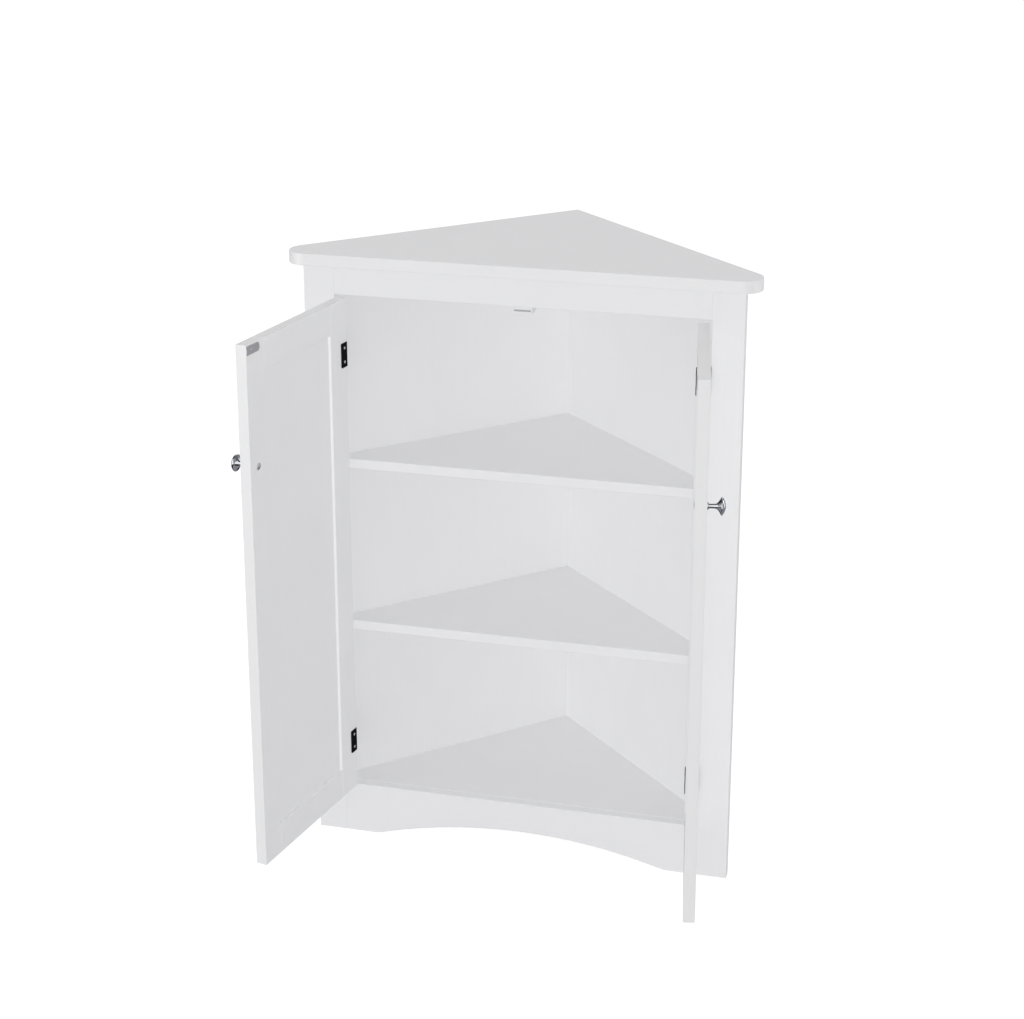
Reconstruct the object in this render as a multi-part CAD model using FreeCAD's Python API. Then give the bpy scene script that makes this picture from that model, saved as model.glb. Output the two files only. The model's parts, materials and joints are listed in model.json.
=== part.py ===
import FreeCAD, Part
import math
import os
from FreeCAD import Placement, Rotation, Vector

# Corner bathroom cabinet with two framed doors, in millimetres.
# x runs across the front, y from the front of the face frame back into the corner, z up from the floor.

# Carcass and face frame
cabinet_height = 800.0
frame_width = 555.0
frame_thickness = 12.7
side_thickness = 12.7
top_thickness = 15.7
top_overhang = 17.0
top_corner_radius = 24.5
stile_width = 39.6
top_rail_height = 38.5
base_rail_height = 70.0
arch_foot = 44.2
arch_rise = 28.4
bottom_thickness = 12.7
bottom_step = 0.6
shelf_thickness = 12.7
upper_shelf_top = 525.5
lower_shelf_top = 301.3
shelf_side_gap = 0.5
edge_round = 1.0
seam_ease = 0.8

# Doors
door_thickness = 14.3
door_top_gap = 2.6
door_bottom_gap = 1.2
door_stop_gap = 0.5
meeting_gap = 2.0
door_stile_width = 38.5
door_rail_height = 39.0
panel_thickness = 4.7
panel_recess = 4.0
groove_depth = 7.0
groove_stop = 8.0
groove_play = 0.15
open_angle = 100.0

# Hinges
leaf_thickness = 1.0
leaf_clearance = 0.35
leaf_width = 13.7
leaf_corner = 1.5
hinge_height = 31.6
hinge_pin_radius = 0.8
hinge_pin_ahead = 1.2
running_clearance = 0.05
seat_clearance = 0.02
knuckle_gap = 0.3
frame_knuckle = 9.5
pin_head_radius = 1.5
pin_head_height = 0.6
upper_hinge_drop = 71.6
lower_hinge_rise = 68.4
hinge_screw_spacing = 18.0
hinge_screw_inset = 6.0

# Wood screws with raised countersunk heads
screw_head_radius = 1.9
screw_shank_radius = 1.1
screw_length = 9.0
screw_dome = 0.5
screw_play = 0.05
cross_width = 0.6
cross_depth = 0.8

# Knobs
knob_edge = 18.0
knob_drop = 152.1
knob_projection = 21.0
knob_head_radius = 10.6
knob_dome = 4.6
knob_rim = 1.1
knob_rim_land = 0.8
knob_neck_radius = 2.9
knob_base_radius = 4.5
knob_base_height = 1.1
knob_screw_radius = 1.75
knob_screw_bite = 8.0
knob_screw_head_radius = 4.5
knob_screw_head_height = 0.8
knob_hole_play = 0.2

# Magnetic catch and strike plates
catch_width = 25.0
catch_depth = 16.0
catch_drop = 12.8
catch_height = 26.0
catch_setback = 0.3
catch_ear_width = 9.0
catch_ear_seat = 1.5
catch_ear_lift = 2.0
catch_ear_corner = 3.0
magnet_width = 21.0
magnet_thickness = 2.1
magnet_depth = 12.0
magnet_rise = 2.9
magnet_play = 0.1
magnet_gap = 0.3
strike_length = 29.0
strike_height = 10.7
strike_drop = 1.8
strike_thickness = 0.8
strike_corner = 4.8
strike_screw_inset = 11.0

# Fasteners inside the carcass
pin_radius = 2.5
pin_depth = 8.0
pin_reach = 9.0
pin_front = 70.0
pin_back = 290.0
pin_play = 0.05
pin_end_round = 0.8
dowel_radius = 3.0
dowel_length = 28.0
short_dowel_length = 17.0
dowel_play = 0.1
dowel_end_play = 0.3
dowel_cover = 1.5
rail_dowel_margin = 10.0
panel_dowel_inset = 120.0
stile_dowel_margin = 90.0
stile_dowel_count = 4
cam_radius = 6.0
cam_depth = 10.0
cam_setback = 24.0
cam_play = 0.1
cam_slot = 1.4
cam_slot_length = 8.0
cam_slot_depth = 1.5
cam_front = 60.0
cam_back = 310.0
bolt_radius = 2.5
bolt_bite = 8.0
bolt_head_radius = 3.3
bolt_head_length = 4.0
bolt_play = 0.3
corner_screw_length = 40.0
corner_screw_head_radius = 4.5
corner_screw_radius = 2.5
corner_screw_dome = 0.25
corner_screw_margin = 45.0
corner_screw_count = 4

# Fillets stay under this share of the wall they round, and edges are told apart to this distance
wall_share = 0.49
tolerance = 0.001

# Places that follow from the sizes
z_axis = Vector(0, 0, 1)
root_two = math.sqrt(2)
frame_half = frame_width / 2
opening_half = frame_half - stile_width
case_height = cabinet_height - top_thickness
opening_top = case_height - top_rail_height
outer_apex = frame_half + frame_thickness
inner_apex = outer_apex - side_thickness * root_two
side_length = frame_half * root_two
bottom_top = base_rail_height + bottom_step
bottom_middle = bottom_top - bottom_thickness / 2
hinge_gap = 2 * leaf_thickness + leaf_clearance
hinge_edge = hinge_gap - opening_half
free_edge = -meeting_gap / 2
door_low = base_rail_height + door_bottom_gap
door_high = opening_top - door_top_gap
pin_x = hinge_gap / 2 - opening_half
pin_y = -hinge_pin_ahead
barrel_radius = hinge_pin_radius + running_clearance + leaf_thickness
panel_back = door_thickness - panel_recess
panel_front = panel_back - panel_thickness
hinge_heights = {"upper": door_high - upper_hinge_drop, "lower": door_low + lower_hinge_rise}
shelf_tops = {"upper": upper_shelf_top, "lower": lower_shelf_top}
catch_front = door_thickness + strike_thickness + magnet_gap + catch_setback
catch_low = opening_top - catch_drop


def block(x_range, y_range, z_range):
    low = Vector(x_range[0], y_range[0], z_range[0])
    high = Vector(x_range[1], y_range[1], z_range[1])
    size = high - low
    return Part.makeBox(size.x, size.y, size.z, low)


def prism(points, z_low, z_high):
    corners = [Vector(x, y, z_low) for x, y in points]
    outline = Part.makePolygon(corners + corners[:1])
    return Part.Face(outline).extrude(z_axis * (z_high - z_low))


def rod(radius, length, start, direction):
    return Part.makeCylinder(radius, length, start, direction)


def line(start, end):
    return Part.LineSegment(start, end).toShape()


def polyline(points):
    return [line(start, end) for start, end in zip(points, points[1:])]


def dome_arc(radius, low, height):
    # Arc from the rim at the given height up to the axis, as a slice through a shallow dome.
    sphere = (radius ** 2 + height ** 2) / (2 * height)
    half = math.asin(radius / sphere) / 2
    centre = low + height - sphere
    middle = Vector(sphere * math.sin(half), 0, centre + sphere * math.cos(half))
    return Part.Arc(Vector(radius, 0, low), middle, Vector(0, 0, low + height)).toShape()


def revolved(edges):
    return Part.Face(Part.Wire(edges)).revolve(Vector(), z_axis, 360)


def aimed(shape, point, direction):
    shape.Placement = Placement(point, Rotation(z_axis, direction))
    return shape


def mirrored(shape):
    return shape.mirror(Vector(), Vector(1, 0, 0))


def eased(shape, radius, wanted):
    return shape.makeFillet(radius, [edge for edge in shape.Edges if wanted(edge.BoundBox)])


def at(low, high, value):
    return abs(low - value) < tolerance and abs(high - value) < tolerance


def bored(shape, holes):
    return shape.cut(holes).removeSplitter()


def joined(first, others):
    return first.fuse(others).removeSplitter()


def cross_recess(top):
    # Two crossed slots in a screw head whose highest point is given.
    reach = screw_shank_radius
    span = (-cross_width / 2, cross_width / 2)
    depth = (top - cross_depth, top + cross_depth)
    return [block((-reach, reach), span, depth), block(span, (-reach, reach), depth)]


def countersunk(head_radius, shank_radius, length, dome):
    sink = head_radius - shank_radius
    points = [Vector(0, 0, -length), Vector(shank_radius, 0, shank_radius - length),
              Vector(shank_radius, 0, -sink), Vector(head_radius, 0, 0)]
    edges = polyline(points) + [dome_arc(head_radius, 0, dome)]
    return revolved(edges + [line(Vector(0, 0, dome), points[0])])


def wood_screw(point, direction):
    screw = countersunk(screw_head_radius, screw_shank_radius, screw_length, screw_dome)
    return aimed(bored(screw, cross_recess(screw_dome)), point, direction)


def wood_screw_hole(point, direction):
    radii = (screw_head_radius + screw_play, screw_shank_radius + screw_play)
    return aimed(countersunk(*radii, screw_length + screw_play, screw_dome), point, direction)


def on_left_side(shape):
    # Side coordinates: x along the panel from its outer front corner, y outward, z up.
    shape.rotate(Vector(), z_axis, 45)
    shape.translate(Vector(-frame_half, frame_thickness, 0))
    return shape


def both_sides(make):
    return [on_left_side(make()), mirrored(on_left_side(make()))]


def cam_joints():
    # Where each cam bolt crosses from one board to the next, the way to its cam, and the way the cam faces.
    middle = -side_thickness / 2
    joints = []
    for along in (cam_front, cam_back):
        high = Vector(along, middle, case_height)
        joints.append((high, Vector(0, 0, -1), Vector(0, -1, 0), side_thickness))
        low = Vector(along, -side_thickness, bottom_middle)
        joints.append((low, Vector(0, -1, 0), Vector(0, 0, -1), bottom_thickness))
    return joints


def cam_lock(joint, inward, facing, board):
    centre = joint + inward * cam_setback
    face = centre + facing * (board / 2)
    lock = rod(cam_radius, cam_depth, face, facing * -1)
    mouth = centre + inward * (bolt_head_length / 2 + bolt_play)
    pocket = rod(bolt_head_radius + bolt_play, cam_setback, mouth, inward * -1)
    slot = block((-cam_slot_length / 2, cam_slot_length / 2), (-cam_slot / 2, cam_slot / 2),
                 (-cam_slot_depth, cam_slot_depth))
    return bored(lock, [pocket, aimed(slot, face, facing)])


def cam_bolt(joint, inward):
    shaft = rod(bolt_radius, bolt_bite + cam_setback, joint - inward * bolt_bite, inward)
    head_start = joint + inward * (cam_setback - bolt_head_length / 2)
    return joined(shaft, [rod(bolt_head_radius, bolt_head_length, head_start, inward)])


def cam_holes(joint, inward, facing, board):
    face = joint + inward * cam_setback + facing * (board / 2)
    cam_bore = rod(cam_radius + cam_play, cam_depth + cam_play, face, facing * -1)
    way = rod(bolt_head_radius + bolt_play, cam_setback, joint, inward)
    bite = rod(bolt_radius + cam_play, bolt_bite + cam_play, joint, inward * -1)
    return [cam_bore, way, bite]


def shelf_pin_places(shelf_top):
    height = shelf_top - shelf_thickness - pin_radius - pin_play
    return [Vector(along, -side_thickness, height) for along in (pin_front, pin_back)]


def shelf_pin(place):
    outward = Vector(0, 1, 0)
    pin = rod(pin_radius, pin_depth + pin_reach, place - outward * pin_reach, outward)
    end_round = min(pin_end_round, pin_radius * wall_share)
    return eased(pin, end_round, lambda box: at(box.YMin, box.YMax, place.y - pin_reach))


def shelf_pin_hole(place):
    return rod(pin_radius + pin_play, pin_depth + pin_play, place, Vector(0, 1, 0))


def dowel_places():
    # Centre, direction and length of each wood dowel.
    frame_middle = frame_thickness / 2
    places = []
    rail_heights = [opening_top + rail_dowel_margin, case_height - rail_dowel_margin,
                    rail_dowel_margin, base_rail_height - rail_dowel_margin]
    stile_step = (case_height - 2 * stile_dowel_margin) / (stile_dowel_count - 1)
    side_x = frame_half - side_thickness * root_two + dowel_radius + dowel_cover
    for sign in (-1, 1):
        for height in rail_heights:
            centre = Vector(sign * opening_half, frame_middle, height)
            places.append((centre, Vector(1, 0, 0), dowel_length))
        for step in range(stile_dowel_count):
            height = stile_dowel_margin + step * stile_step
            centre = Vector(sign * side_x, frame_thickness, height)
            places.append((centre, Vector(0, 1, 0), short_dowel_length))
        top_centre = Vector(sign * panel_dowel_inset, frame_middle, case_height)
        places.append((top_centre, z_axis, short_dowel_length))
        low_centre = Vector(sign * panel_dowel_inset, frame_thickness, bottom_middle)
        places.append((low_centre, Vector(0, 1, 0), short_dowel_length))
    return places


def dowel(centre, direction, length):
    return rod(dowel_radius, length, centre - direction * (length / 2), direction)


def dowel_hole(centre, direction, length):
    depth = length + 2 * dowel_end_play
    return rod(dowel_radius + dowel_play, depth, centre - direction * (depth / 2), direction)


def corner_screw_places():
    step = (case_height - 2 * corner_screw_margin) / (corner_screw_count - 1)
    along = side_length - side_thickness / 2
    return [Vector(along, 0, corner_screw_margin + index * step) for index in range(corner_screw_count)]


def corner_screw(play):
    sizes = (corner_screw_head_radius + play, corner_screw_radius + play, corner_screw_length + play)
    return countersunk(*sizes, corner_screw_dome)


def corner_screws(play):
    outward = Vector(0, 1, 0)
    return [on_left_side(aimed(corner_screw(play), place, outward)) for place in corner_screw_places()]


def catch_screw_places():
    low = opening_top + catch_ear_lift
    height = (low + catch_low + catch_height) / 2
    offset = catch_width / 2 + catch_ear_width / 2
    return [Vector(sign * offset, catch_front + catch_ear_seat, height) for sign in (-1, 1)]


def frame_leaf_screw_places(height):
    rises = (-hinge_screw_spacing / 2, hinge_screw_spacing / 2)
    face = frame_thickness + leaf_thickness
    return [Vector(-opening_half - hinge_screw_inset, face, height + rise) for rise in rises]


def carcass_holes():
    # Every hole that the carcass fasteners pass through.
    backward = Vector(0, 1, 0)
    holes = [dowel_hole(*place) for place in dowel_places()]
    for joint in cam_joints():
        for index in range(len(cam_holes(*joint))):
            holes += both_sides(lambda: cam_holes(*joint)[index])
    for shelf_top in shelf_tops.values():
        for place in shelf_pin_places(shelf_top):
            holes += both_sides(lambda: shelf_pin_hole(place))
    for height in hinge_heights.values():
        for place in frame_leaf_screw_places(height):
            left = wood_screw_hole(place, backward)
            holes += [left, mirrored(left)]
    holes += [wood_screw_hole(place, backward) for place in catch_screw_places()]
    return holes + corner_screws(screw_play)


def side_panel(length):
    outline = [(0, 0), (length, 0), (length, -side_thickness), (side_thickness, -side_thickness)]
    return on_left_side(prism(outline, 0, case_height))


def top_panel():
    back = outer_apex + top_overhang * root_two
    half = back + top_overhang
    outline = [(-half, -top_overhang), (half, -top_overhang), (0, back)]
    panel = prism(outline, case_height, cabinet_height)
    panel = eased(panel, top_corner_radius, lambda box: at(box.YMin, box.YMax, -top_overhang)
                  and box.ZLength > tolerance)
    return eased(panel, edge_round, lambda box: box.ZLength < tolerance)


def stile():
    board = block((-frame_half, -opening_half), (0, frame_thickness), (0, case_height))
    return eased(board, edge_round, lambda box: at(box.YMin, box.YMax, 0) and box.XLength < tolerance)


def rail_plan(left, right, thickness):
    # Plan of a rail whose upright end edges are chamfered where they meet the stiles.
    back = thickness - seam_ease
    return [(left + seam_ease, 0), (right - seam_ease, 0), (right, seam_ease), (right, back),
            (right - seam_ease, thickness), (left + seam_ease, thickness), (left, back), (left, seam_ease)]


def top_rail():
    plan = rail_plan(-opening_half, opening_half, frame_thickness)
    rail = prism(plan, opening_top, case_height)
    return eased(rail, edge_round, lambda box: at(box.YMin, box.YMax, 0)
                 and at(box.ZMin, box.ZMax, opening_top))


def arched_rail():
    arch_half = opening_half - arch_foot
    right = [Vector(arch_half, 0, 0), Vector(opening_half, 0, 0),
             Vector(opening_half, 0, base_rail_height)]
    left = [Vector(-point.x, 0, point.z) for point in reversed(right)]
    corners = right + left
    arch = Part.Arc(corners[-1], Vector(0, 0, arch_rise), corners[0]).toShape()
    outline = Part.Wire(polyline(corners) + [arch])
    plan = rail_plan(-opening_half, opening_half, frame_thickness)
    rail = Part.Face(outline).extrude(Vector(0, frame_thickness, 0))
    rail = rail.common(prism(plan, 0, base_rail_height))
    return eased(rail, edge_round, lambda box: at(box.YMin, box.YMax, 0)
                 and (at(box.ZMin, box.ZMax, base_rail_height) or at(box.ZMax, box.ZMax, arch_rise)))


def shelf(front, gap, thickness, top):
    back = inner_apex - gap * root_two
    board = prism([(front - back, front), (back - front, front), (0, back)], top - thickness, top)
    return eased(board, edge_round, lambda box: at(box.YMin, box.YMax, front) and box.XLength > tolerance)


def catch_housing():
    width = (-catch_width / 2, catch_width / 2)
    heights = (catch_low, catch_low + catch_height)
    body = block(width, (catch_front, catch_front + catch_depth), heights)
    body = eased(body, edge_round, lambda box: at(box.ZMin, box.ZMax, catch_low) or box.ZLength > tolerance)
    ear_span = catch_width / 2 + catch_ear_width
    ears = block((-ear_span, ear_span), (frame_thickness, catch_front + catch_ear_seat),
                 (opening_top + catch_ear_lift, heights[1]))
    corner = min(catch_ear_corner, catch_ear_width * wall_share)
    ears = eased(ears, corner, lambda box: box.YLength > tolerance)
    return bored(joined(body, [ears]), [magnet(magnet_play)])


def magnet(play):
    front = catch_front - catch_setback
    low = catch_low + magnet_rise
    half = magnet_width / 2 + play
    return block((-half, half), (front, front + magnet_depth + play),
                 (low - play, low + magnet_thickness + play))


def leaf(edge, side, board, height, own_knuckles):
    # Sheet leaf that lies on a board's edge, wraps round to its inner face and rolls round the pin.
    # edge is the x of the board's edge, side is +1 when the board lies towards +x.
    heights = (height - hinge_height / 2, height + hinge_height / 2)
    outer = edge - side * leaf_thickness
    across = sorted((outer, edge))
    strip_start = pin_y + barrel_radius + knuckle_gap
    strip = block(across, (strip_start, board + leaf_thickness), heights)
    tip = edge + side * leaf_width
    flange = block(sorted((outer, tip)), (board, board + leaf_thickness), heights)
    flange = eased(flange, leaf_corner, lambda box: at(box.XMin, box.XMax, tip) and box.YLength > tolerance
                   and box.ZLength < tolerance)
    pieces = [flange]
    for low, high in own_knuckles:
        pieces.append(rod(barrel_radius, high - low, Vector(pin_x, pin_y, low), z_axis))
        pieces.append(block(across, (pin_y, strip_start), (low, high)))
    sheet = joined(strip, pieces)
    return eased(sheet, leaf_thickness, lambda box: at(box.XMin, box.XMax, outer)
                 and at(box.YMin, box.YMax, board + leaf_thickness))


def knuckle_heights(height):
    low = height - hinge_height / 2
    high = height + hinge_height / 2
    frame_parts = [(low, low + frame_knuckle), (high - frame_knuckle, high)]
    door_part = [(low + frame_knuckle + knuckle_gap, high - frame_knuckle - knuckle_gap)]
    return frame_parts, door_part


def pin_bore(height, clearance):
    start = Vector(pin_x, pin_y, height - hinge_height / 2)
    return rod(hinge_pin_radius + clearance, hinge_height, start, z_axis)


def frame_leaf(height):
    sheet = leaf(-opening_half, -1, frame_thickness, height, knuckle_heights(height)[0])
    holes = [wood_screw_hole(place, Vector(0, 1, 0)) for place in frame_leaf_screw_places(height)]
    return bored(sheet, holes + [pin_bore(height, seat_clearance)])


def door_leaf(height):
    sheet = leaf(hinge_edge, 1, door_thickness, height, knuckle_heights(height)[1])
    holes = [wood_screw_hole(place, Vector(0, 1, 0)) for place in door_leaf_screw_places(height)]
    return bored(sheet, holes + [pin_bore(height, running_clearance)])


def hinge_pin(height):
    low = height - hinge_height / 2
    pieces = []
    for start, way in ((low, -1), (low + hinge_height, 1)):
        edges = [line(Vector(), Vector(pin_head_radius, 0, 0)), dome_arc(pin_head_radius, 0, pin_head_height),
                 line(Vector(0, 0, pin_head_height), Vector())]
        pieces.append(aimed(revolved(edges), Vector(pin_x, pin_y, start), z_axis * way))
    return joined(rod(hinge_pin_radius, hinge_height, Vector(pin_x, pin_y, low), z_axis), pieces)


def door_leaf_screw_places(height):
    rises = (-hinge_screw_spacing / 2, hinge_screw_spacing / 2)
    face = door_thickness + leaf_thickness
    return [Vector(hinge_edge + hinge_screw_inset, face, height + rise) for rise in rises]


def knob_place():
    return Vector(free_edge - knob_edge, 0, door_high - knob_drop)


def knob():
    rim_top = knob_projection - knob_dome
    rim_low = rim_top - knob_rim
    flare = knob_head_radius - knob_rim_land - knob_neck_radius
    foot = knob_base_radius - knob_neck_radius
    slant = 1 - math.sqrt(0.5)
    neck_low = Vector(knob_neck_radius, 0, knob_base_height + foot)
    neck_high = Vector(knob_neck_radius, 0, rim_low - flare)
    flare_end = Vector(knob_neck_radius + flare, 0, rim_low)
    foot_start = Vector(knob_base_radius, 0, knob_base_height)
    foot_middle = Vector(knob_neck_radius + foot * slant, 0, knob_base_height + foot * slant)
    flare_middle = Vector(knob_neck_radius + flare * slant, 0, rim_low - flare * slant)
    edges = polyline([Vector(), Vector(knob_base_radius, 0, 0), foot_start])
    edges.append(Part.Arc(foot_start, foot_middle, neck_low).toShape())
    edges.append(line(neck_low, neck_high))
    edges.append(Part.Arc(neck_high, flare_middle, flare_end).toShape())
    edges += polyline([flare_end, Vector(knob_head_radius, 0, rim_low + knob_rim / 2),
                       Vector(knob_head_radius, 0, rim_top)])
    edges.append(dome_arc(knob_head_radius, rim_top, knob_dome))
    edges.append(line(Vector(0, 0, knob_projection), Vector()))
    body = aimed(revolved(edges), knob_place(), Vector(0, -1, 0))
    return bored(body, [knob_screw_shank(screw_play)])


def knob_screw_shank(play):
    reach = door_thickness + knob_screw_bite + play
    start = knob_place() + Vector(0, door_thickness, 0)
    return rod(knob_screw_radius + play, reach, start, Vector(0, -1, 0))


def knob_screw():
    edges = [line(Vector(), Vector(knob_screw_head_radius, 0, 0)),
             dome_arc(knob_screw_head_radius, 0, knob_screw_head_height),
             line(Vector(0, 0, knob_screw_head_height), Vector())]
    seat = knob_place() + Vector(0, door_thickness, 0)
    inward = Vector(0, 1, 0)
    screw = joined(knob_screw_shank(0), [aimed(revolved(edges), seat, inward)])
    return bored(screw, [aimed(slot, seat, inward) for slot in cross_recess(knob_screw_head_height)])


def strike_plate():
    high = door_high - strike_drop
    heights = (high - strike_height, high)
    end = free_edge - strike_length
    plate = block((end, free_edge), (door_thickness, door_thickness + strike_thickness), heights)
    corner = min(strike_corner, strike_height * wall_share)
    plate = eased(plate, corner, lambda box: at(box.XMin, box.XMax, end) and box.ZLength < tolerance)
    return bored(plate, strike_screw_holes())


def strike_screw_place():
    height = door_high - strike_drop - strike_height / 2
    return Vector(free_edge - strike_screw_inset, door_thickness + strike_thickness, height)


def flat_screw(play):
    # Flat countersunk screw, so that the strike meets the magnet.
    sizes = (screw_head_radius + play, screw_shank_radius + play, screw_length + play)
    return aimed(countersunk(*sizes, play + screw_play), strike_screw_place(), Vector(0, 1, 0))


def strike_screw_holes():
    return [flat_screw(screw_play)]


def door_holes():
    holes = [knob_screw_shank(knob_hole_play)] + strike_screw_holes()
    for height in hinge_heights.values():
        holes += [wood_screw_hole(place, Vector(0, 1, 0)) for place in door_leaf_screw_places(height)]
    return holes


def door_stile(outer, side):
    # outer is the x of the stile's outer edge, side is +1 when the door lies towards +x.
    inner = outer + side * door_stile_width
    board = block(sorted((outer, inner)), (0, door_thickness), (door_low, door_high))
    board = eased(board, edge_round, lambda box: at(box.YMin, box.YMax, 0)
                  and not at(box.XMin, box.XMax, inner))
    board = eased(board, seam_ease, lambda box: at(box.XMin, box.XMax, inner)
                  and box.ZLength > door_stile_width)
    bottom_of_groove = inner - side * groove_depth
    groove = block(sorted((bottom_of_groove, inner)), (panel_front - groove_play, panel_back + groove_play),
                   (door_low + groove_stop, door_high - groove_stop))
    return bored(board, [groove] + door_holes())


def door_rail(outer, side):
    # outer is the z of the rail's outer edge, side is +1 when the door lies above it.
    inner = outer + side * door_rail_height
    ends = (hinge_edge + door_stile_width, free_edge - door_stile_width)
    board = prism(rail_plan(*ends, door_thickness), *sorted((outer, inner)))
    board = eased(board, edge_round, lambda box: at(box.YMin, box.YMax, 0)
                  and at(box.ZMin, box.ZMax, outer))
    board = eased(board, seam_ease, lambda box: at(box.ZMin, box.ZMax, inner)
                  and box.XLength > door_rail_height)
    bottom_of_groove = inner - side * groove_depth
    groove = block(ends, (panel_front - groove_play, panel_back + groove_play),
                   sorted((bottom_of_groove, inner)))
    tongue_reach = groove_depth - groove_play
    tongue_low = outer + side * (groove_stop + groove_play)
    tongue_high = bottom_of_groove - side * groove_play
    tongue = block((ends[0] - tongue_reach, ends[1] + tongue_reach), (panel_front, panel_back),
                   sorted((tongue_low, tongue_high)))
    return joined(bored(board, [groove]), [tongue])


def door_panel():
    reach = groove_depth - groove_play
    return block((hinge_edge + door_stile_width - reach, free_edge - door_stile_width + reach),
                 (panel_front, panel_back),
                 (door_low + door_rail_height - reach, door_high - door_rail_height + reach))


def closed_left_door():
    backward = Vector(0, 1, 0)
    pieces = {
        "door_hinge_stile": door_stile(hinge_edge, 1),
        "door_lock_stile": door_stile(free_edge, -1),
        "door_top_rail": door_rail(door_high, -1),
        "door_bottom_rail": door_rail(door_low, 1),
        "door_panel": door_panel(),
        "knob": knob(),
        "knob_screw": knob_screw(),
        "strike_plate": strike_plate(),
        "strike_screw": bored(flat_screw(0), [aimed(part, strike_screw_place(), backward)
                                              for part in cross_recess(0)]),
    }
    screws = []
    for name, height in hinge_heights.items():
        pieces[name + "_door_leaf"] = door_leaf(height)
        screws += [wood_screw(place, backward) for place in door_leaf_screw_places(height)]
    pieces["door_leaf_screws"] = Part.makeCompound(screws)
    return pieces


def left_frame_hardware():
    pieces = {}
    screws = []
    for name, height in hinge_heights.items():
        pieces[name + "_frame_leaf"] = frame_leaf(height)
        pieces[name + "_hinge_pin"] = hinge_pin(height)
        screws += [wood_screw(place, Vector(0, 1, 0)) for place in frame_leaf_screw_places(height)]
    pieces["frame_leaf_screws"] = Part.makeCompound(screws)
    return pieces


def carcass():
    holes = carcass_holes()
    shelf_front = door_thickness + door_stop_gap
    boards = {
        "top_panel": top_panel(),
        "left_side_panel": side_panel(side_length),
        "right_side_panel": mirrored(side_panel(side_length - side_thickness)),
        "bottom_panel": shelf(frame_thickness, 0, bottom_thickness, bottom_top),
        "left_stile": stile(),
        "right_stile": mirrored(stile()),
        "top_rail": top_rail(),
        "arched_rail": arched_rail(),
        "catch_housing": catch_housing(),
    }
    pieces = {name: bored(board, holes) for name, board in boards.items()}
    for name, top in shelf_tops.items():
        pieces[name + "_shelf"] = shelf(shelf_front, shelf_side_gap, shelf_thickness, top)
        pins = []
        for place in shelf_pin_places(top):
            pins += both_sides(lambda: shelf_pin(place))
        pieces[name + "_shelf_pins"] = Part.makeCompound(pins)
    locks = []
    bolts = []
    for joint, inward, facing, board in cam_joints():
        locks += both_sides(lambda: cam_lock(joint, inward, facing, board))
        bolts += both_sides(lambda: cam_bolt(joint, inward))
    pieces["cam_locks"] = Part.makeCompound(locks)
    pieces["cam_bolts"] = Part.makeCompound(bolts)
    pieces["wood_dowels"] = Part.makeCompound([dowel(*place) for place in dowel_places()])
    pieces["corner_screws"] = Part.makeCompound(corner_screws(0))
    pieces["catch_magnet"] = magnet(0)
    catch_screws = [wood_screw(place, Vector(0, 1, 0)) for place in catch_screw_places()]
    pieces["catch_screws"] = Part.makeCompound(catch_screws)
    return pieces


def cabinet():
    nodes = carcass()
    pin = Vector(pin_x, pin_y, 0)
    for name, piece in left_frame_hardware().items():
        nodes["left_" + name] = piece
        nodes["right_" + name] = mirrored(piece)
    for name, piece in closed_left_door().items():
        piece.rotate(pin, z_axis, -open_angle)
        nodes["left_" + name] = piece
        nodes["right_" + name] = mirrored(piece)
    return nodes


def main():
    nodes = cabinet()
    # The origin lies on the floor below the middle of the cabinet with its doors open.
    box = Part.makeCompound(list(nodes.values())).optimalBoundingBox(False)
    shift = Vector(-(box.XMin + box.XMax) / 2, -(box.YMin + box.YMax) / 2, -box.ZMin)
    os.makedirs("parts", exist_ok=True)
    for name, piece in nodes.items():
        piece.translate(shift)
        piece.exportStep("parts/" + name + ".step")
    print(len(nodes), "nodes, size", box.XLength, box.YLength, box.ZLength)
    print("front of the face frame at y", shift.y)
    print("hinge pin at x", abs(pin_x), "y", pin_y + shift.y)


main()
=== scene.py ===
import json
import math
import bpy
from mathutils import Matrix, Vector


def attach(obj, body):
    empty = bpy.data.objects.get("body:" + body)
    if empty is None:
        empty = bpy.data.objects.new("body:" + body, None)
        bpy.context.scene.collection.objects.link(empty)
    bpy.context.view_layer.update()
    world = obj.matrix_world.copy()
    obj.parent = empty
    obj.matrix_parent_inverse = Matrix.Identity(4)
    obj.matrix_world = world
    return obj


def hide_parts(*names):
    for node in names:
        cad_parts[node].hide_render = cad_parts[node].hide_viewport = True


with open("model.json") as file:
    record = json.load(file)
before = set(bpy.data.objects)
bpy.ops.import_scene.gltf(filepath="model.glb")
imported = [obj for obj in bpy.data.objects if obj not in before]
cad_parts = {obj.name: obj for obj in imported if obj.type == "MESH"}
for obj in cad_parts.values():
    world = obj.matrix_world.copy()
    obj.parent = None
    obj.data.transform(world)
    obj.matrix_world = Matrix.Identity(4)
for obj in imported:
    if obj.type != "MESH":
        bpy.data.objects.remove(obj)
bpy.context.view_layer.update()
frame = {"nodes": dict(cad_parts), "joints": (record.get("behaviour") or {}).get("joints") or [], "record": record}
nodes = frame["nodes"]
scene = bpy.context.scene

perMetre = 1000  # grain widths and knob rings are written in millimetres
noiseMiddle = 0.5
quarterTurn = math.radians(90)
even = (1, 1, 1)  # grain that isn't drawn out


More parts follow.
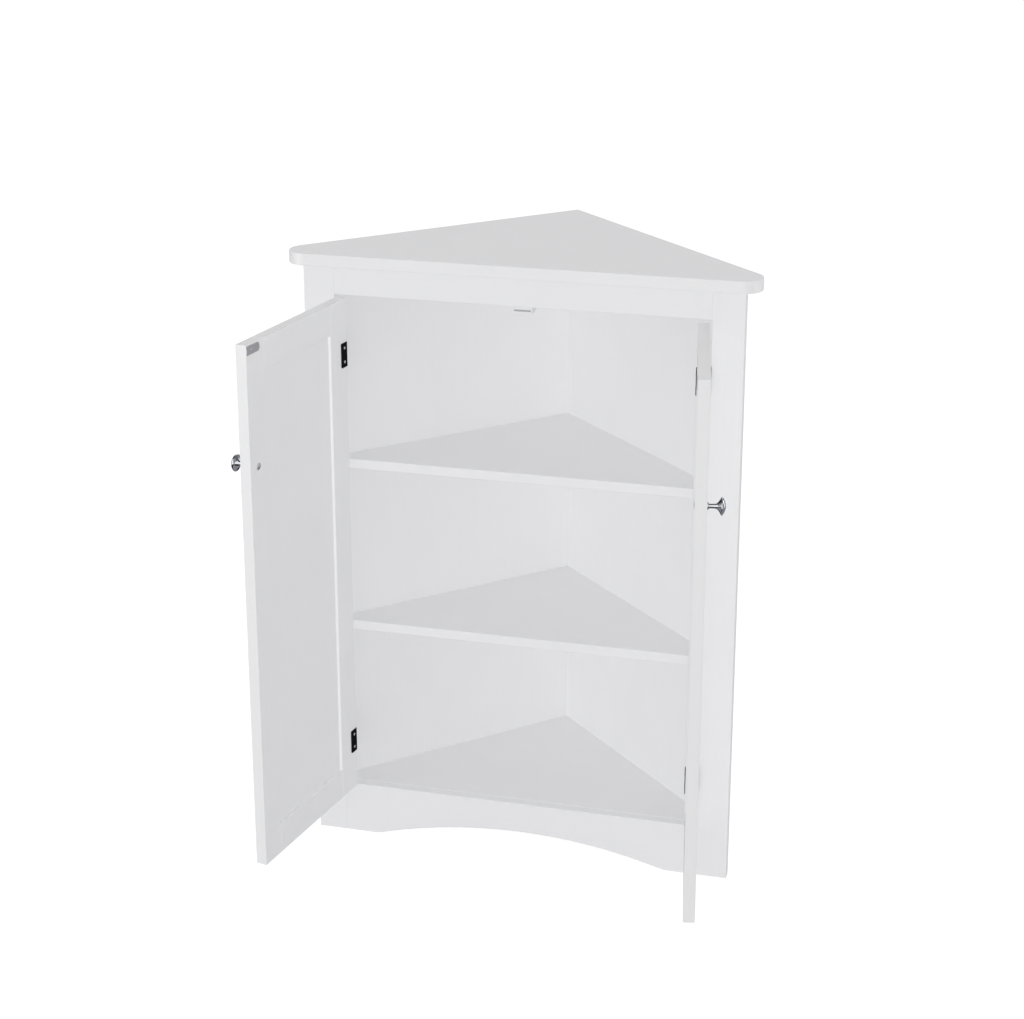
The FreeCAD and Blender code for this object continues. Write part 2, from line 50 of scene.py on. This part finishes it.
# shader sums are written as plain expressions on sockets
class Wire:
    def __init__(self, tree, socket=None):
        self.tree = tree
        self.socket = socket

    def node(self, kind, settings=None, inputs=None, out=0):
        made = self.tree.nodes.new(kind)
        for name, value in (settings or {}).items():
            setattr(made, name, value)
        for name, value in (inputs or {}).items():
            self.put(made.inputs[name], value)
        return Wire(self.tree, made.outputs[out] if made.outputs else None)

    def put(self, socket, value):
        if isinstance(value, Wire):
            self.tree.links.new(value.socket, socket)
        else:
            socket.default_value = value

    def maths(self, operation, first, second):
        return self.node("ShaderNodeMath", {"operation": operation}, {0: first, 1: second})

    def __add__(self, other):
        return self.maths("ADD", self, other)

    __radd__ = __add__

    def __sub__(self, other):
        return self.maths("SUBTRACT", self, other)

    def __rsub__(self, other):
        return self.maths("SUBTRACT", other, self)

    def __mul__(self, other):
        return self.maths("MULTIPLY", self, other)

    __rmul__ = __mul__


def newFinish(name):
    finish = bpy.data.materials.new(name)
    finish.use_nodes = True
    finish.node_tree.nodes.clear()
    return finish, Wire(finish.node_tree)


def closeFinish(wire, shader):
    wire.node("ShaderNodeOutputMaterial", inputs={"Surface": shader})


def grainOf(wire, width, stretch=even, detail=2.0):
    # a small stretch value draws the grain out along that axis
    place = wire.node("ShaderNodeTexCoord", out="Object")
    place = wire.node("ShaderNodeMapping", inputs={"Vector": place, "Scale": stretch})
    noise = {"Vector": place, "Scale": perMetre / width, "Detail": detail}
    return wire.node("ShaderNodeTexNoise", inputs=noise, out="Fac")


def tinted(wire, amount, dark, light):
    # the colour sockets of a Mix node are inputs 6 and 7 and output 2
    mixed = {0: amount, 6: (*dark, 1), 7: (*light, 1)}
    return wire.node("ShaderNodeMix", {"data_type": "RGBA"}, mixed, 2)


def dented(wire, height, depth, strength):
    return wire.node("ShaderNodeBump", inputs={"Strength": strength, "Distance": depth, "Height": height})


# satin white lacquer: soft clouding, faint roller streaks along the board, fine orange peel
lacquer = {"dark": (0.766, 0.766, 0.776), "light": (0.810, 0.810, 0.820),
           "cloud": 70.0, "streak": 2.2, "peel": 1.5,  # widths
           "cloudShare": 0.5, "streakShare": 0.5, "streakStretch": 0.012,
           "streakHeight": 0.3, "peelDetail": 1.0, "peelDepth": 0.00016, "bumpStrength": 0.4,
           "roughness": 0.42, "roughnessSpan": 0.16}
drawn = lacquer["streakStretch"]
streakRuns = {"upright": (1, 1, drawn), "level": (drawn, drawn, 1), "flat": (drawn, 1, 1)}
flatBoards = ("top_panel", "bottom_panel", "upper_shelf", "lower_shelf")


def lacquerFinish(name, run):
    finish, wire = newFinish(name)
    cloud = grainOf(wire, lacquer["cloud"])
    streak = grainOf(wire, lacquer["streak"], run)
    peel = grainOf(wire, lacquer["peel"], detail=lacquer["peelDetail"])
    amount = cloud * lacquer["cloudShare"] + streak * lacquer["streakShare"]
    height = peel + streak * lacquer["streakHeight"]
    shader = wire.node("ShaderNodeBsdfPrincipled", inputs={
        "Base Color": tinted(wire, amount, lacquer["dark"], lacquer["light"]),
        "Roughness": lacquer["roughness"] + (streak - noiseMiddle) * lacquer["roughnessSpan"],
        "Normal": dented(wire, height, lacquer["peelDepth"], lacquer["bumpStrength"])})
    closeFinish(wire, shader)
    return finish


def boardWay(name):
    if name.endswith("rail"):
        return "level"
    return "flat" if name in flatBoards else "upright"


# hardware: widths of blotch and grain, depth of the grain in metres
hardware = {
    "hinge_black": {"dark": (0.0012, 0.0012, 0.0014), "light": (0.0052, 0.0052, 0.0058), "blotch": 6.0,
                    "grain": 0.35, "depth": 0.00004, "metallic": 0.0, "specular": 0.03,
                    "roughness": 0.50, "span": 0.25},
    "chrome": {"dark": (0.780, 0.785, 0.800), "light": (0.840, 0.845, 0.860), "blotch": 9.0,
               "grain": 1.2, "depth": 0.000004, "metallic": 1.0, "specular": 0.5,
               "roughness": 0.07, "span": 0.08},
    "strike_steel": {"dark": (0.455, 0.455, 0.468), "light": (0.600, 0.600, 0.617), "blotch": 5.0,
                     "grain": 0.30, "stretch": (0.04, 0.04, 1), "depth": 0.00002, "metallic": 1.0,
                     "specular": 0.5, "roughness": 0.42, "span": 0.2},
    "fastener_steel": {"dark": (0.520, 0.520, 0.540), "light": (0.640, 0.640, 0.660), "blotch": 1.6,
                       "grain": 0.25, "depth": 0.00002, "metallic": 1.0, "specular": 0.5,
                       "roughness": 0.38, "span": 0.2},
    "catch_plastic": {"dark": (0.745, 0.745, 0.752), "light": (0.795, 0.795, 0.802), "blotch": 12.0,
                      "grain": 0.5, "depth": 0.00006, "metallic": 0.0, "specular": 0.5,
                      "roughness": 0.40, "span": 0.16},
    "magnet": {"dark": (0.340, 0.340, 0.350), "light": (0.470, 0.470, 0.480), "blotch": 3.0,
               "grain": 0.4, "depth": 0.00008, "metallic": 0.0, "specular": 0.35,
               "roughness": 0.55, "span": 0.2},
    "dowel_wood": {"dark": (0.440, 0.285, 0.155), "light": (0.640, 0.455, 0.280), "blotch": 4.0,
                   "grain": 0.5, "stretch": (0.06, 1, 1), "depth": 0.00010, "metallic": 0.0,
                   "specular": 0.3, "roughness": 0.62, "span": 0.2},
}
hardwareMix = {"blotchShare": 0.5, "grainShare": 0.5, "bumpStrength": 0.5}


def hardwareFinish(name, look):
    finish, wire = newFinish(name)
    blotch = grainOf(wire, look["blotch"])
    grain = grainOf(wire, look["grain"], look.get("stretch", even))
    amount = blotch * hardwareMix["blotchShare"] + grain * hardwareMix["grainShare"]
    shader = wire.node("ShaderNodeBsdfPrincipled", inputs={
        "Base Color": tinted(wire, amount, look["dark"], look["light"]),
        "Metallic": look["metallic"], "Specular IOR Level": look["specular"],
        "Roughness": look["roughness"] + (grain - noiseMiddle) * look["span"],
        "Normal": dented(wire, grain, look["depth"], hardwareMix["bumpStrength"])})
    closeFinish(wire, shader)
    return finish


boardFinishes = {way: lacquerFinish(way + "Lacquer", run) for way, run in streakRuns.items()}
hardwareFinishes = {slot: hardwareFinish(slot, look) for slot, look in hardware.items()}
for part in frame["record"]["subparts"]:
    node = nodes[part["node"]]
    slot = part["material_slot"]
    node.data.materials.clear()
    node.data.materials.append(hardwareFinishes.get(slot) or boardFinishes[boardWay(part["node"])])
    # the knobs mirror the studio and not the boards, as in the photograph
    node.visible_glossy = slot != "white_lacquer"
print("finishes:", len(boardFinishes) + len(hardwareFinishes))

# chrome knob: rings extruded out of a disc along its axis, then smoothed
knob = {"sides": 32, "smoothing": 2, "rings": [  # distance from the door's face, and radius
    (0.0, 4.50), (0.25, 4.62), (0.9, 4.62), (1.25, 4.35), (1.6, 3.55), (2.2, 3.05), (4.0, 2.85),
    (6.5, 2.80), (8.6, 2.95), (10.2, 3.33), (11.6, 4.14), (12.8, 5.37), (13.9, 7.08), (14.8, 8.89),
    (15.5, 10.12), (15.95, 10.60), (16.35, 10.62), (16.75, 10.46), (17.5, 9.74), (18.6, 8.22),
    (19.7, 5.94), (20.5, 3.38), (20.9, 1.20)]}
shutHeading = -90  # a shut door faces the front, in degrees from +X
# a door is shut at the limit that is farther from rest
shutTurns = {joint["child"]: max(joint["range_deg"], key=abs) for joint in frame["joints"]}


def knobFoot(cadKnob, outward):
    # middle of the end at the door, from the extent of the CAD knob
    upward = Vector((0, 0, 1))
    points = [vertex.co for vertex in cadKnob.data.vertices]
    foot = outward * min(point.dot(outward) for point in points)
    for way in (upward, upward.cross(outward)):
        reach = [point.dot(way) for point in points]
        foot += way * (min(reach) + max(reach)) / 2
    return foot


def modelKnob():
    # stands on the origin with its axis upright
    bpy.ops.object.select_all(action="DESELECT")
    reach, radius = knob["rings"][0]
    bpy.ops.mesh.primitive_circle_add(vertices=knob["sides"], radius=radius / perMetre, fill_type="NGON")
    piece = bpy.context.object
    bpy.ops.object.mode_set(mode="EDIT")
    for nextReach, nextRadius in knob["rings"][1:]:
        rise = (nextReach - reach) / perMetre
        growth = nextRadius / radius
        bpy.ops.mesh.extrude_region_move(TRANSFORM_OT_translate={"value": (0, 0, rise)})
        bpy.ops.transform.resize(value=(growth, growth, 1), center_override=(0, 0, nextReach / perMetre))
        reach, radius = nextReach, nextRadius
    bpy.ops.mesh.select_all(action="SELECT")
    bpy.ops.mesh.normals_make_consistent(inside=False)
    bpy.ops.object.mode_set(mode="OBJECT")
    smooth = piece.modifiers.new("smooth", "SUBSURF")
    smooth.levels = knob["smoothing"]
    smooth.render_levels = knob["smoothing"]
    bpy.ops.object.modifier_apply(modifier="smooth")
    bpy.ops.object.shade_smooth()
    piece.data.materials.append(hardwareFinishes["chrome"])
    return piece


def fitKnob(piece, door):
    heading = math.radians(shutHeading - shutTurns[door + "_door"])
    outward = Vector((math.cos(heading), math.sin(heading), 0))
    piece.name = door + "KnobTurned"
    piece.location = knobFoot(nodes[door + "_knob"], outward)
    piece.rotation_euler = (0, quarterTurn, heading)  # lays the axis level, then turns it with the door
    bpy.ops.object.select_all(action="DESELECT")
    piece.select_set(True)
    bpy.context.view_layer.objects.active = piece
    bpy.ops.object.transform_apply(location=True, rotation=True, scale=True)


leftKnob = modelKnob()
bpy.ops.object.duplicate()  # the copy gets its own mesh
rightKnob = bpy.context.object
for piece, door in ((leftKnob, "left"), (rightKnob, "right")):
    fitKnob(piece, door)
    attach(piece, door + "_door")
    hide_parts(door + "_knob")
print("knobs: 2")

# studio: a floor and a sky that are white to the camera and in reflections, and dimmer as light
studio = {"floorSize": 40, "floorGlow": 0.83, "floorMatte": 0.3, "floorBounce": 0.7, "ambient": 0.567}


def grey(shade):
    return (shade, shade, shade, 1)


def seenRays(wire):
    rays = ("Is Camera Ray", "Is Glossy Ray", "Is Transmission Ray")
    seen = sum(wire.node("ShaderNodeLightPath", out=ray) for ray in rays)
    return wire.maths("MINIMUM", seen, 1.0)


def floorFinish():
    finish, wire = newFinish("paleFloor")
    bounce = wire.node("ShaderNodeBsdfDiffuse", inputs={"Color": grey(studio["floorBounce"])})
    matte = wire.node("ShaderNodeBsdfDiffuse", inputs={"Color": grey(studio["floorMatte"])})
    glow = wire.node("ShaderNodeEmission", inputs={"Color": grey(1), "Strength": studio["floorGlow"]})
    shown = wire.node("ShaderNodeAddShader", inputs={0: matte, 1: glow})
    closeFinish(wire, wire.node("ShaderNodeMixShader", inputs={0: seenRays(wire), 1: bounce, 2: shown}))
    return finish


def studioSky():
    sky = bpy.data.worlds.new("studio")
    sky.use_nodes = True
    sky.node_tree.nodes.clear()
    wire = Wire(sky.node_tree)
    seen = seenRays(wire)
    strength = seen + (1 - seen) * studio["ambient"]
    shader = wire.node("ShaderNodeBackground", inputs={"Color": grey(1), "Strength": strength})
    wire.node("ShaderNodeOutputWorld", inputs={"Surface": shader})
    return sky


bpy.ops.object.select_all(action="DESELECT")
bpy.ops.mesh.primitive_plane_add(size=studio["floorSize"], location=(0, 0, 0))
floor = bpy.context.object
floor.name = "floor"
floor.data.materials.append(floorFinish())
scene.world = studioSky()

# soft suns: aim is the way the light goes, angle its spread in degrees
lamps = {
    "aboveFill": {"aim": (0, 0, -1), "strength": 0.668, "angle": 40, "shadow": False},
    "frontFill": {"aim": (0, 1, 0.2), "strength": 0.448, "angle": 20, "shadow": False},
    "frontLeftFill": {"aim": (1, 1, 0.28), "strength": 0.940, "angle": 20, "shadow": False},
    "frontRightFill": {"aim": (-1, 1, 0.28), "strength": 0.15, "angle": 20, "shadow": False},
    "rightFill": {"aim": (-1, 0, 0.2), "strength": 0.668, "angle": 20, "shadow": False},
    "backLeft": {"aim": (1, -1, -0.1), "strength": 0.6, "angle": 40, "shadow": True},
    "backRight": {"aim": (-1, -1, -0.1), "strength": 0.6, "angle": 40, "shadow": True},
}
for name, lamp in lamps.items():
    bpy.ops.object.light_add(type="SUN")
    light = bpy.context.object
    light.name = name
    light.data.energy = lamp["strength"]
    light.data.angle = math.radians(lamp["angle"])
    light.data.use_shadow = lamp["shadow"]
    light.rotation_euler = Vector(lamp["aim"]).to_track_quat("-Z", "Y").to_euler()

# dark cards that only reflections see, as a studio sets them round chrome
lying = (0, 0, 0)
sideways = (0, quarterTurn, 0)
standing = (quarterTurn, 0, 0)
flags = {
    "overheadFlag": {"size": (3.0, 1.9), "place": (0, -0.26, 2.2), "turn": lying, "shade": 0.01},
    "frontFloorFlag": {"size": (5.0, 2.0), "place": (0, -1.42, 0.002), "turn": lying, "shade": 0.02},
    "middleFloorFlag": {"size": (0.8, 2.8), "place": (0, 1.0, 0.002), "turn": lying, "shade": 0.24},
    "flareFlag": {"size": (0.5, 0.7), "place": (-0.25, 0.65, 0.004), "turn": lying, "shade": 0.01},
    "rightFloorFlag": {"size": (1.2, 2.8), "place": (1.0, 1.0, 0.002), "turn": lying, "shade": 0.24},
    "leftFloorFlag": {"size": (1.2, 2.8), "place": (-1.0, 1.0, 0.002), "turn": lying, "shade": 0.24},
    "rightHighFlag": {"size": (1.4, 3.0), "place": (1.6, 0.9, 1.9), "turn": sideways, "shade": 0.13},
    "leftHighFlag": {"size": (1.4, 3.0), "place": (-1.6, 0.9, 1.9), "turn": sideways, "shade": 0.03},
    "rightFlag": {"size": (1.2, 1.5), "place": (1.6, 0.15, 0.6), "turn": sideways, "shade": 0.29},
    "leftFlag": {"size": (1.2, 1.5), "place": (-1.6, 0.15, 0.6), "turn": sideways, "shade": 0.15},
    "leftBackFlag": {"size": (1.2, 1.5), "place": (-1.6, 1.65, 0.6), "turn": sideways, "shade": 0.01},
    "backFlag": {"size": (5.0, 1.4), "place": (0, 2.6, 0.7), "turn": standing, "shade": 0.24},
}
cardTint = (1.0, 1.0, 1.14)


def cardFinish(name, shade):
    finish, wire = newFinish(name)
    colour = [shade * tint for tint in cardTint]
    closeFinish(wire, wire.node("ShaderNodeEmission", inputs={"Color": (*colour, 1)}))
    return finish


for name, flag in flags.items():
    bpy.ops.mesh.primitive_plane_add(size=1, location=flag["place"], rotation=flag["turn"])
    card = bpy.context.object
    card.name = name
    card.scale = (*flag["size"], 1)
    card.data.materials.append(cardFinish(name, flag["shade"]))
    for unseen in ("visible_camera", "visible_diffuse", "visible_transmission", "visible_shadow"):
        setattr(card, unseen, False)

# camera: angles in degrees, focal length in pixels of the image, sensor in millimetres
view = {"place": (0.6350, -2.4806, 1.4231), "yaw": 14.774, "pitch": -18.249, "focal": 2142.9,
        "imageWidth": 1024, "sensorWidth": 36, "shiftUp": -0.08, "farEnd": 100}
bpy.ops.object.camera_add(location=view["place"])
camera = bpy.context.object
camera.name = "photoCamera"
camera.rotation_euler = (quarterTurn + math.radians(view["pitch"]), 0, math.radians(view["yaw"]))
camera.data.sensor_width = view["sensorWidth"]
camera.data.lens = view["focal"] * view["sensorWidth"] / view["imageWidth"]
camera.data.shift_y = view["shiftUp"]
camera.data.clip_end = view["farEnd"]
scene.camera = camera
scene.view_settings.view_transform = "Standard"
print("studio: floor,", len(lamps), "lamps,", len(flags), "cards, camera")
